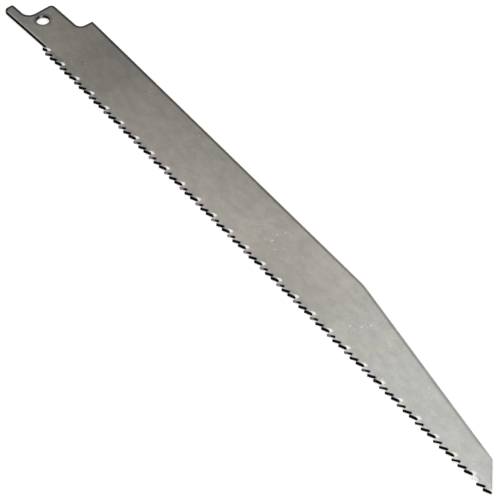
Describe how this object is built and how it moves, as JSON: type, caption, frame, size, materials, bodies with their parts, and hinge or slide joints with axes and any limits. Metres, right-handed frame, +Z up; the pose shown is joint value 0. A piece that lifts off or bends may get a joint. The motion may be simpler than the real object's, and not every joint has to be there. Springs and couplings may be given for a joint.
{
  "type": "reciprocating saw blade",
  "caption": "Flat steel blade for a reciprocating saw: stepped tang with pin hole, set teeth along one edge, tapered back and slanted end.",
  "frame": {"origin": "centre of the tang's pin hole, half way through the steel's thickness", "axes": "+X along the tooth line from the tang to the point, +Y from the teeth towards the back, +Z up, square to the flat of the blade"},
  "size_m": [0.2286, 0.0191, 0.0018],
  "materials": {
    "blade_steel": "satin warm-grey plain steel with a fine grain, dark sheared edges and sheared tooth flanks"
  },
  "bodies": {
    "root": {"blade": "blade_steel"}
  },
  "joints": []
}
